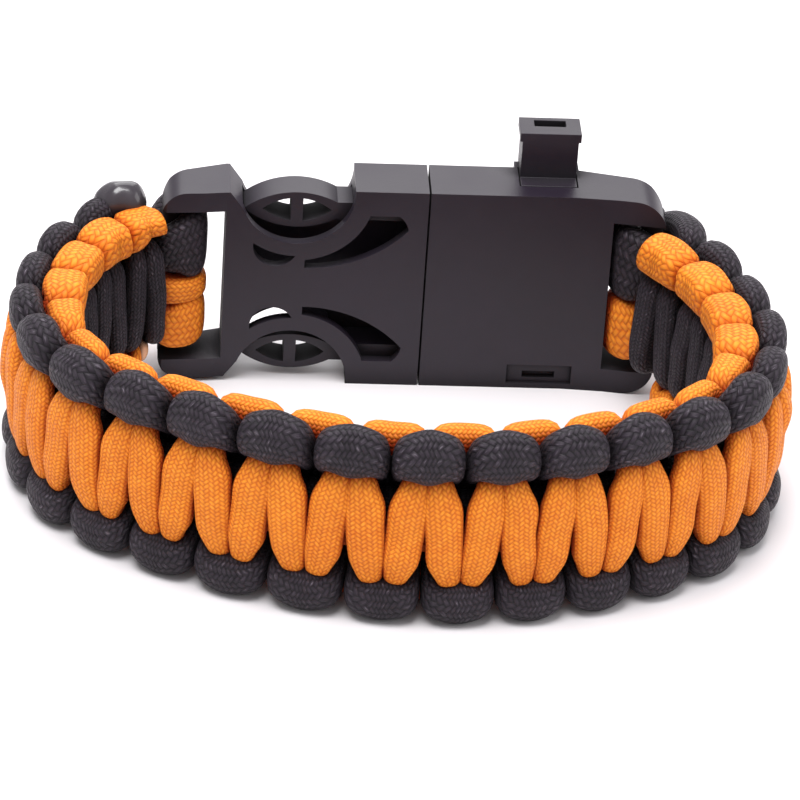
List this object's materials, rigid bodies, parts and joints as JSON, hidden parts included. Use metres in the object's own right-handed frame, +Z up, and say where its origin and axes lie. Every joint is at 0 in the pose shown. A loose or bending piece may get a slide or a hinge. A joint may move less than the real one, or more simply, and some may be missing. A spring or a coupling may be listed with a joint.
{
  "type": "paracord bracelet with fire-striker buckle",
  "caption": "Woven two-colour paracord bracelet, closed by a side-release buckle with a pull-out fire striker, lying on its edge as a whole loop.",
  "frame": {"origin": "centre of the bounding box's base, on the surface that the bracelet's edge rests on, in the middle of the loop", "axes": "+Z up across the width of the band, +X along the buckle from its socket to its box, +Y from the front of the weave to the buckle"},
  "size_m": [0.0942, 0.063, 0.034],
  "materials": {
    "buckle_plastic": "satin moulded black plastic with a fine grain and polished edges",
    "handle_plastic": "satin moulded black plastic, slightly glossier than the buckle",
    "striker_rod": "dark grey metal rod with fine drawn lines",
    "black_paracord": "braided nylon sheath, charcoal black with a soft sheen",
    "orange_paracord": "braided nylon sheath, bright orange with a soft sheen",
    "black_melt": "glossy melted nylon, lumpy and black",
    "orange_melt": "glossy melted nylon, pale peach"
  },
  "bodies": {
    "root": {"socket_half": "buckle_plastic", "prong_half": "buckle_plastic", "black_cord": "black_paracord", "orange_cord": "orange_paracord", "black_melted_end": "black_melt", "orange_melted_end": "orange_melt"},
    "striker": {"striker_handle": "handle_plastic", "striker_rod": "striker_rod"}
  },
  "joints": [
    {"name": "striker_pull", "type": "slide", "parent": "root", "child": "striker", "axis": [0, 0, 1], "range_m": [0, 0.019]}
  ]
}
